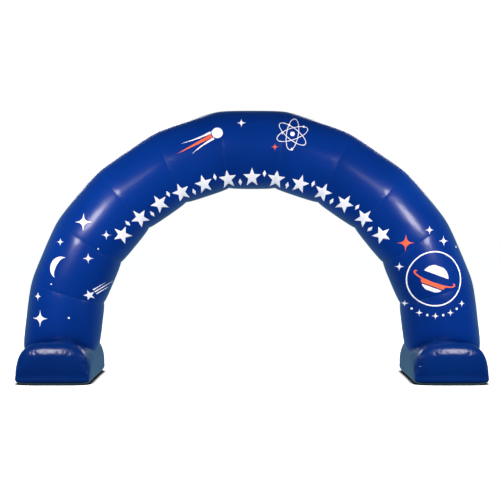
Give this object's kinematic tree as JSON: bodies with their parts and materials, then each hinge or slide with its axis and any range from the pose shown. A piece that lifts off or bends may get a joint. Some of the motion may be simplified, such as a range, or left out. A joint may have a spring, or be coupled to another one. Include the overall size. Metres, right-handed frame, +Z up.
{
  "type": "inflatable arch",
  "caption": "Round inflatable entrance arch of mitred tube panels on two loaf-shaped air feet, open to walk through.",
  "frame": {"origin": "on the ground, midway between the two feet and midway between front and back", "axes": "+Z up, +X across the arch towards the right foot as seen from the printed front, -Y towards the viewer of the front"},
  "size_m": [5.98, 1.5, 3.5041],
  "materials": {
    "tube_cloth": "glossy coated cloth, royal blue",
    "foot_cloth": "glossy coated cloth, navy blue",
    "print_white": "satin printed film on cloth, white",
    "print_orange": "satin printed film on cloth, orange"
  },
  "bodies": {
    "root": {"panel_01": "tube_cloth", "panel_02": "tube_cloth", "panel_03": "tube_cloth", "panel_04": "tube_cloth", "panel_05": "tube_cloth", "panel_06": "tube_cloth", "panel_07": "tube_cloth", "panel_08": "tube_cloth", "panel_09": "tube_cloth", "panel_10": "tube_cloth", "panel_11": "tube_cloth", "foot_left": "foot_cloth", "foot_right": "foot_cloth"}
  },
  "joints": []
}
